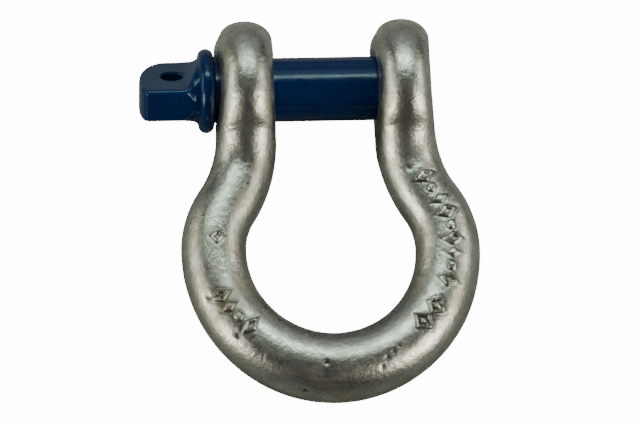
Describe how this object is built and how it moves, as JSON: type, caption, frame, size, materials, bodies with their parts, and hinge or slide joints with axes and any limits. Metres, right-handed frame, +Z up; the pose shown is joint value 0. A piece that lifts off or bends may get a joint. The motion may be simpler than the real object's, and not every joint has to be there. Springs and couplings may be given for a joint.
{
  "type": "bow shackle",
  "caption": "Galvanised bow shackle: a wide forged loop with an eye at each end, closed by a blue screw pin with a holed lug.",
  "frame": {"origin": "middle of the footprint of the shackle lying on its side on a flat surface", "axes": "+Z up from the surface, +X along the pin from its lug towards the threaded eye, +Y from the crown of the bow towards the eyes"},
  "size_m": [0.1143, 0.134, 0.0476],
  "materials": {
    "galvanised_steel": "hot-dip galvanised forging, satin, slightly uneven",
    "blue_paint": "glossy dark blue paint"
  },
  "bodies": {
    "bow": {"bow": "galvanised_steel"},
    "pin": {"screw_pin": "blue_paint"}
  },
  "joints": [
    {"name": "pin_withdraw", "type": "slide", "parent": "bow", "child": "pin", "axis": [-1, 0, 0], "range_m": [0, 0.08]}
  ]
}
